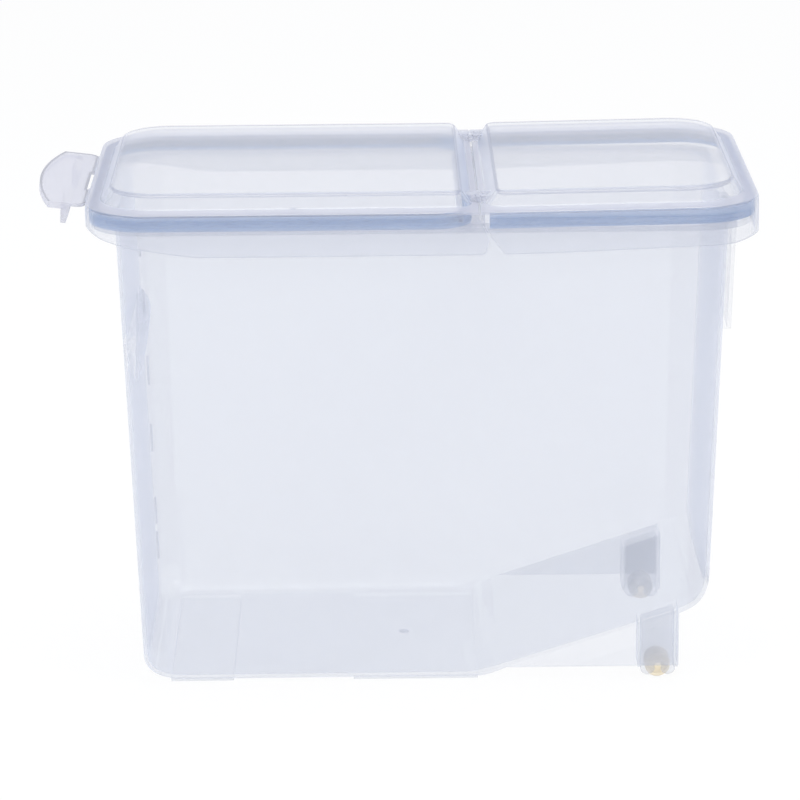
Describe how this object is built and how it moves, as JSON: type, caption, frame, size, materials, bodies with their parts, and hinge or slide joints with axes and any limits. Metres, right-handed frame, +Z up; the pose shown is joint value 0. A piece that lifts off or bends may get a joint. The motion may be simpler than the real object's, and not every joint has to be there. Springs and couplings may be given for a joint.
{
  "type": "rice storage bin with flip lid",
  "caption": "Clear rectangular dry-food storage bin with a hinged flip lid, seal, front latch flap, sloped rear floor and small rear rollers.",
  "frame": {"origin": "on the floor, under the middle of the closed lid's outline, on the underside of the middle foot strip", "axes": "+X runs along the length to the roller end, +Y across the width, +Z up; the latch flap is at -X"},
  "size_m": [0.3871, 0.203, 0.2816],
  "materials": {
    "clear_plastic": "translucent, slightly frosted polypropylene with a pale blue cast",
    "lid_plastic": "translucent, slightly frosted polypropylene with a pale blue cast",
    "flap_plastic": "translucent polypropylene, satin",
    "seal_silicone": "soft pale blue silicone",
    "roller_nylon": "cream nylon"
  },
  "bodies": {
    "tub": {"bin": "clear_plastic", "bin_rim": "clear_plastic"},
    "rear_half": {"rear_lid": "lid_plastic", "rear_seal": "seal_silicone"},
    "front_half": {"front_lid": "lid_plastic", "front_seal": "seal_silicone"},
    "latch": {"latch_flap": "flap_plastic"},
    "near_roller": {"near_wheel": "roller_nylon"},
    "far_roller": {"far_wheel": "roller_nylon"}
  },
  "joints": [
    {"name": "rear_half_lift", "type": "slide", "parent": "tub", "child": "rear_half", "axis": [0, 0, 1], "range_m": [0, 0.06]},
    {"name": "flip_hinge", "type": "hinge", "parent": "rear_half", "child": "front_half", "pos_m": [0.0298, 0, 0.2741], "axis": [0, 1, 0], "range_deg": [0, 95]},
    {"name": "latch_hinge", "type": "hinge", "parent": "front_half", "child": "latch", "pos_m": [-0.18, 0, 0.2676], "axis": [0, 1, 0], "range_deg": [-97, 5]},
    {"name": "near_roller_spin", "type": "hinge", "parent": "tub", "child": "near_roller", "pos_m": [0.128, -0.0635, 0.007], "axis": [0, 1, 0], "continuous": true},
    {"name": "far_roller_spin", "type": "hinge", "parent": "tub", "child": "far_roller", "pos_m": [0.128, 0.0635, 0.007], "axis": [0, 1, 0], "continuous": true}
  ]
}
